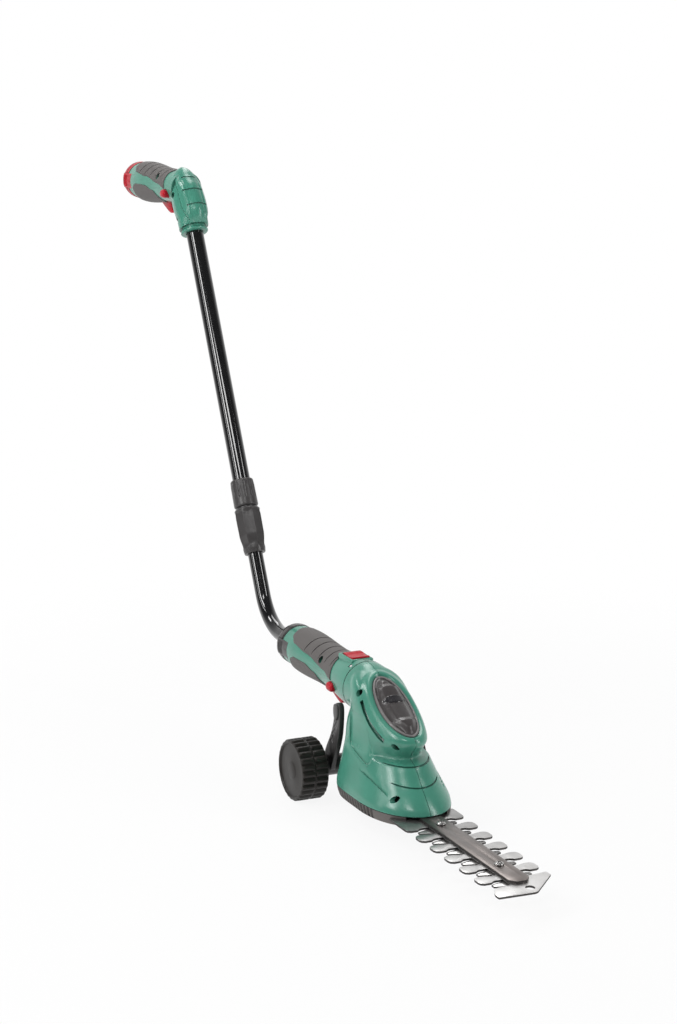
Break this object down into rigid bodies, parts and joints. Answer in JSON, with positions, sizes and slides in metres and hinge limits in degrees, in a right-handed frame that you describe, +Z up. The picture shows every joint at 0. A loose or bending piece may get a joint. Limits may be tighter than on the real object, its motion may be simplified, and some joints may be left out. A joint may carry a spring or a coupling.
{
  "type": "cordless pole shrub shear",
  "caption": "Cordless shrub shear on a wheeled telescopic pole: battery handle at the top, twist clamp, and a swivelling head with a toothed reciprocating blade at the bottom.",
  "frame": {"origin": "middle of the upper hand grip, on the grip's axis", "axes": "+X forward along the blade, +Y to the user's left, +Z up"},
  "size_m": [0.9367, 0.1344, 0.5797],
  "materials": {
    "green_housing": "semi-gloss moulded green",
    "grey_soft_grip": "matt warm-grey overmould",
    "dark_grey_plastic": "fine matt dark grey",
    "red_control": "semi-gloss red",
    "black_lacquered_tube": "gloss black lacquer on tube",
    "ground_steel": "ground bright steel",
    "guide_steel": "plain rolled steel, brownish grey",
    "screw_steel": "bright plated steel",
    "gear_nylon": "natural moulded nylon",
    "lamp_lens": "clear moulded lens"
  },
  "bodies": {
    "handle": {"handle_shell_left": "green_housing", "handle_shell_right": "green_housing", "handle_top_pad": "grey_soft_grip", "handle_bottom_pad": "grey_soft_grip", "handle_contact_block": "dark_grey_plastic", "handle_switch": "dark_grey_plastic", "handle_trigger_spring": "screw_steel", "handle_screw_low": "screw_steel", "handle_screw_mid": "screw_steel", "handle_screw_top": "screw_steel", "upper_tube": "black_lacquered_tube", "clamp_collar": "dark_grey_plastic", "clamp_collet": "dark_grey_plastic"},
    "battery": {"battery_cap": "red_control", "battery_case": "dark_grey_plastic", "battery_cell_pack": "gear_nylon"},
    "battery_tab_left": {"battery_tab_left": "red_control"},
    "battery_tab_right": {"battery_tab_right": "red_control"},
    "handle_trigger": {"handle_trigger": "red_control"},
    "handle_lock_button": {"handle_lock_button": "red_control"},
    "clamp_sleeve": {"clamp_sleeve": "dark_grey_plastic"},
    "lower_pole": {"lower_tube": "black_lacquered_tube", "pole_plug": "dark_grey_plastic"},
    "plug_tab_left": {"plug_tab_left": "dark_grey_plastic"},
    "plug_tab_right": {"plug_tab_right": "dark_grey_plastic"},
    "trimmer": {"grip_shell_left": "green_housing", "grip_shell_right": "green_housing", "grip_top_pad": "grey_soft_grip", "grip_bottom_pad": "grey_soft_grip", "grip_contact_block": "dark_grey_plastic", "grip_switch": "dark_grey_plastic", "grip_trigger_spring": "screw_steel", "grip_screw_top": "screw_steel", "charge_lamp": "lamp_lens"},
    "grip_trigger": {"grip_trigger": "red_control"},
    "grip_lock_button": {"grip_lock_button": "red_control"},
    "head_latch": {"head_latch": "red_control"},
    "head": {"head_shell_left": "green_housing", "head_shell_right": "green_housing", "oval_cover": "dark_grey_plastic", "base_plate": "dark_grey_plastic", "swivel_tube": "dark_grey_plastic", "motor": "ground_steel", "gear_plate": "ground_steel", "fixed_blade": "ground_steel", "guide_plate": "guide_steel", "blade_screw_front": "screw_steel", "blade_screw_rear": "screw_steel", "head_screw_lip": "screw_steel", "head_screw_nose": "screw_steel", "head_screw_top": "screw_steel", "wheel_fork": "dark_grey_plastic", "wheel_axle": "ground_steel"},
    "drive_gear": {"drive_gear": "gear_nylon"},
    "motor_pinion": {"motor_pinion": "ground_steel"},
    "cutter": {"moving_cutter": "ground_steel"},
    "wheel_left": {"wheel_left": "dark_grey_plastic"},
    "wheel_right": {"wheel_right": "dark_grey_plastic"}
  },
  "joints": [
    {"name": "battery_slide", "type": "slide", "parent": "handle", "child": "battery", "axis": [-1, 0, 0], "range_m": [0, 0.06]},
    {"name": "battery_tab_left_press", "type": "slide", "parent": "battery", "child": "battery_tab_left", "axis": [0, -1, 0], "range_m": [0, 0.0012], "stiffness_N_per_m": 800},
    {"name": "battery_tab_right_press", "type": "slide", "parent": "battery", "child": "battery_tab_right", "axis": [0, 1, 0], "range_m": [0, 0.0012], "stiffness_N_per_m": 800},
    {"name": "handle_trigger_squeeze", "type": "hinge", "parent": "handle", "child": "handle_trigger", "pos_m": [0.019, 0, -0.0135], "axis": [0, -1, 0], "range_deg": [0, 8], "stiffness_Nm_per_rad": 0.4, "deforming": ["handle_trigger_spring"]},
    {"name": "handle_lock_push", "type": "slide", "parent": "handle", "child": "handle_lock_button", "axis": [0, 1, 0], "range_m": [-0.003, 0.003], "stiffness_N_per_m": 500},
    {"name": "clamp_twist", "type": "hinge", "parent": "handle", "child": "clamp_sleeve", "pos_m": [0.26089, 0, -0.34499], "axis": [0.4664, 0, -0.8846], "range_deg": [0, 60]},
    {"name": "pole_slide", "type": "slide", "parent": "handle", "child": "lower_pole", "axis": [0.4664, 0, -0.8846], "range_m": [0, 0.25]},
    {"name": "plug_tab_left_press", "type": "slide", "parent": "lower_pole", "child": "plug_tab_left", "axis": [0, -1, 0], "range_m": [0, 0.0012], "stiffness_N_per_m": 800},
    {"name": "plug_tab_right_press", "type": "slide", "parent": "lower_pole", "child": "plug_tab_right", "axis": [0, 1, 0], "range_m": [0, 0.0012], "stiffness_N_per_m": 800},
    {"name": "trimmer_slide", "type": "slide", "parent": "lower_pole", "child": "trimmer", "axis": [1, 0, 0], "range_m": [0, 0.06]},
    {"name": "grip_trigger_squeeze", "type": "hinge", "parent": "trimmer", "child": "grip_trigger", "pos_m": [0.47223, 0, -0.45491], "axis": [0, -1, 0], "range_deg": [0, 8], "stiffness_Nm_per_rad": 0.4, "deforming": ["grip_trigger_spring"]},
    {"name": "grip_lock_push", "type": "slide", "parent": "trimmer", "child": "grip_lock_button", "axis": [0, 1, 0], "range_m": [-0.003, 0.003], "stiffness_N_per_m": 500},
    {"name": "latch_slide", "type": "slide", "parent": "trimmer", "child": "head_latch", "axis": [-1, 0, 0], "range_m": [0, 0.003], "stiffness_N_per_m": 500},
    {"name": "head_swivel", "type": "hinge", "parent": "trimmer", "child": "head", "pos_m": [0.54373, 0, -0.44141], "axis": [1, 0, 0], "range_deg": [-90, 90]},
    {"name": "gear_spin", "type": "hinge", "parent": "head", "child": "drive_gear", "pos_m": [0.60773, 0, -0.51741], "axis": [0, 0, 1], "continuous": true},
    {"name": "pinion_spin", "type": "hinge", "parent": "head", "child": "motor_pinion", "pos_m": [0.58373, 0, -0.51741], "axis": [0, 0, 1], "continuous": true},
    {"name": "cutter_stroke", "type": "slide", "parent": "head", "child": "cutter", "axis": [1, 0, 0], "range_m": [0, 0.01]},
    {"name": "wheel_left_roll", "type": "hinge", "parent": "head", "child": "wheel_left", "pos_m": [0.51713, 0.0532, -0.52611], "axis": [0, 1, 0], "continuous": true},
    {"name": "wheel_right_roll", "type": "hinge", "parent": "head", "child": "wheel_right", "pos_m": [0.51713, -0.0532, -0.52611], "axis": [0, 1, 0], "continuous": true}
  ],
  "couplings": [
    {"joint": "pinion_spin", "follows": "gear_spin", "ratio": -3}
  ]
}
